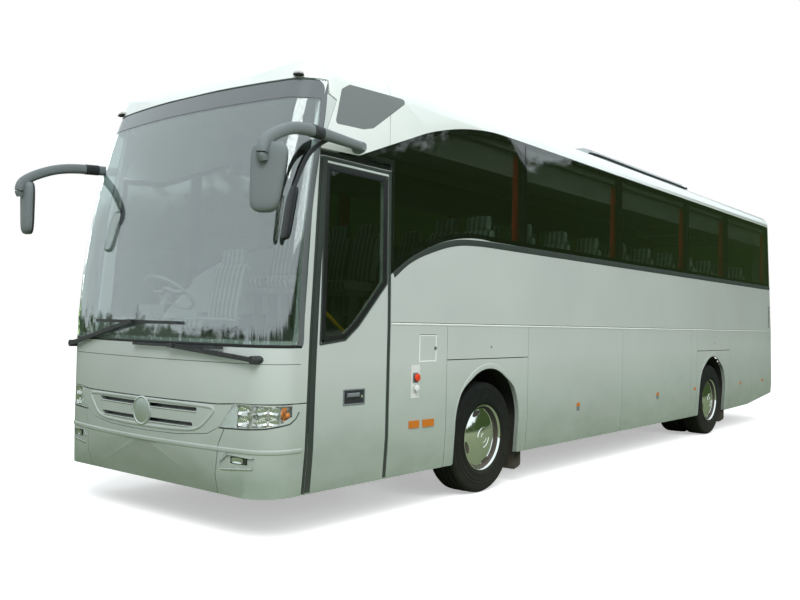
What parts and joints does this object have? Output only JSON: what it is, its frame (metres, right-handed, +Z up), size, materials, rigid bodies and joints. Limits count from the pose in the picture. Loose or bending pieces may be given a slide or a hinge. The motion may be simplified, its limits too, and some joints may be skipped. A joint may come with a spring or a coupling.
{
  "type": "touring coach",
  "caption": "Two-axle single-deck touring coach with a powered swing door, side luggage hatches, twin rear wheels and hanging front mirrors.",
  "frame": {"origin": "centre of the whole coach's box, on the ground", "axes": "+Z up; the front looks along -Y; +X is the coach's left, where the front door is"},
  "size_m": [3.2921, 12.4115, 3.7049],
  "materials": {
    "body_paint": "silver-green metallic paint",
    "roof_paint": "near-white paint",
    "glass": "dark green tinted",
    "screen_glass": "clear with a grey band along its top",
    "black_trim": "glossy black",
    "lamp_glass": "clear lens",
    "lamp_red": "red lens",
    "lamp_amber": "amber lens",
    "frame_steel": "black chassis paint",
    "cast_parts": "bare, dull",
    "tyre": "matt",
    "wheel": "chromed cover",
    "floor": "ribbed floor covering",
    "interior": "grained",
    "hold_lining": "mill finish",
    "seat_fabric": "striped grey-green",
    "curtain": "red pleated",
    "liner": "textured"
  },
  "bodies": {
    "coach": {"ac_unit": "roof_paint", "axles": "cast_parts", "curtains": "curtain", "dashboard": "interior", "engine": "cast_parts", "entrance_steps": "floor", "front_bumper": "body_paint", "front_flap": "body_paint", "front_frame": "black_trim", "grille": "body_paint", "headlamps": "lamp_glass", "luggage_hold": "hold_lining", "luggage_racks": "interior", "marker_lamps": "lamp_amber", "mirrors": "black_trim", "quarter_panels": "black_trim", "rear_bumper": "body_paint", "rear_window": "glass", "roof_front_cap": "roof_paint", "roof_shell": "roof_paint", "saloon_floor": "floor", "seats": "seat_fabric", "side_ducts": "interior", "side_glass": "glass", "side_walls": "body_paint", "skirt_panels": "body_paint", "steering_wheel": "interior", "tail_lamps": "lamp_red", "tail_panel": "body_paint", "towing_bosses": "frame_steel", "underframe": "frame_steel", "wheel_liners": "liner", "window_frames": "black_trim", "windscreen": "screen_glass", "wipers": "black_trim"},
    "front_door_link": {"front_door_arm": "frame_steel"},
    "front_door": {"front_door_leaf": "body_paint", "front_door_glass": "glass"},
    "luggage_hatch_front_left": {"luggage_door_front_left": "body_paint"},
    "arch_cover_front_left": {"arch_flap_front_left": "body_paint"},
    "luggage_hatch_rear_left": {"luggage_door_rear_left": "body_paint"},
    "arch_cover_rear_left": {"arch_flap_rear_left": "body_paint"},
    "luggage_hatch_front_right": {"luggage_door_front_right": "body_paint"},
    "arch_cover_front_right": {"arch_flap_front_right": "body_paint"},
    "luggage_hatch_rear_right": {"luggage_door_rear_right": "body_paint"},
    "arch_cover_rear_right": {"arch_flap_rear_right": "body_paint"},
    "engine_cover": {"engine_lid": "body_paint"},
    "steering_left": {"steering_knuckle_left": "cast_parts"},
    "front_left_wheel": {"wheel_front_left": "wheel", "tyre_front_left": "tyre"},
    "rear_left_wheels": {"wheels_rear_left": "wheel", "tyres_rear_left": "tyre"},
    "steering_right": {"steering_knuckle_right": "cast_parts"},
    "front_right_wheel": {"wheel_front_right": "wheel", "tyre_front_right": "tyre"},
    "rear_right_wheels": {"wheels_rear_right": "wheel", "tyres_rear_right": "tyre"}
  },
  "joints": [
    {"name": "front_door_swing", "type": "hinge", "parent": "coach", "child": "front_door_link", "pos_m": [1.132, -5.3175, 0.7], "axis": [0, 0, -1], "range_deg": [0, 130]},
    {"name": "front_door_level", "type": "hinge", "parent": "front_door_link", "child": "front_door", "pos_m": [1.19, -5.0095, 0.7], "axis": [0, 0, -1], "range_deg": [-130, 0]},
    {"name": "luggage_hatch_front_left_lift", "type": "hinge", "parent": "coach", "child": "luggage_hatch_front_left", "pos_m": [1.272, -1.3095, 1.532], "axis": [0, -1, 0], "range_deg": [0, 85]},
    {"name": "arch_cover_front_left_lift", "type": "hinge", "parent": "coach", "child": "arch_cover_front_left", "pos_m": [1.272, -3.0975, 1.532], "axis": [0, -1, 0], "range_deg": [0, 85]},
    {"name": "luggage_hatch_rear_left_lift", "type": "hinge", "parent": "coach", "child": "luggage_hatch_rear_left", "pos_m": [1.272, 0.9245, 1.532], "axis": [0, -1, 0], "range_deg": [0, 85]},
    {"name": "arch_cover_rear_left_lift", "type": "hinge", "parent": "coach", "child": "arch_cover_rear_left", "pos_m": [1.272, 3.017, 1.532], "axis": [0, -1, 0], "range_deg": [0, 85]},
    {"name": "luggage_hatch_front_right_lift", "type": "hinge", "parent": "coach", "child": "luggage_hatch_front_right", "pos_m": [-1.272, -1.3095, 1.532], "axis": [0, 1, 0], "range_deg": [0, 85]},
    {"name": "arch_cover_front_right_lift", "type": "hinge", "parent": "coach", "child": "arch_cover_front_right", "pos_m": [-1.272, -3.0975, 1.532], "axis": [0, 1, 0], "range_deg": [0, 85]},
    {"name": "luggage_hatch_rear_right_lift", "type": "hinge", "parent": "coach", "child": "luggage_hatch_rear_right", "pos_m": [-1.272, 0.9245, 1.532], "axis": [0, 1, 0], "range_deg": [0, 85]},
    {"name": "arch_cover_rear_right_lift", "type": "hinge", "parent": "coach", "child": "arch_cover_rear_right", "pos_m": [-1.272, 3.017, 1.532], "axis": [0, 1, 0], "range_deg": [0, 85]},
    {"name": "engine_cover_lift", "type": "hinge", "parent": "coach", "child": "engine_cover", "pos_m": [0, 6.12557, 1.56], "axis": [1, 0, 0], "range_deg": [0, 80]},
    {"name": "steering_left_turn", "type": "hinge", "parent": "coach", "child": "steering_left", "pos_m": [0.9, -3.1075, 0.508], "axis": [0, 0, 1], "range_deg": [-38, 38]},
    {"name": "front_left_wheel_spin", "type": "hinge", "parent": "steering_left", "child": "front_left_wheel", "pos_m": [1.078, -3.1075, 0.508], "axis": [1, 0, 0], "continuous": true},
    {"name": "rear_left_wheels_spin", "type": "hinge", "parent": "coach", "child": "rear_left_wheels", "pos_m": [0.92, 2.9725, 0.508], "axis": [1, 0, 0], "continuous": true},
    {"name": "steering_right_turn", "type": "hinge", "parent": "coach", "child": "steering_right", "pos_m": [-0.9, -3.1075, 0.508], "axis": [0, 0, 1], "range_deg": [-38, 38]},
    {"name": "front_right_wheel_spin", "type": "hinge", "parent": "steering_right", "child": "front_right_wheel", "pos_m": [-1.078, -3.1075, 0.508], "axis": [1, 0, 0], "continuous": true},
    {"name": "rear_right_wheels_spin", "type": "hinge", "parent": "coach", "child": "rear_right_wheels", "pos_m": [-0.92, 2.9725, 0.508], "axis": [1, 0, 0], "continuous": true}
  ],
  "couplings": [
    {"joint": "front_door_level", "follows": "front_door_swing", "ratio": -1},
    {"joint": "steering_right_turn", "follows": "steering_left_turn", "ratio": 1}
  ]
}
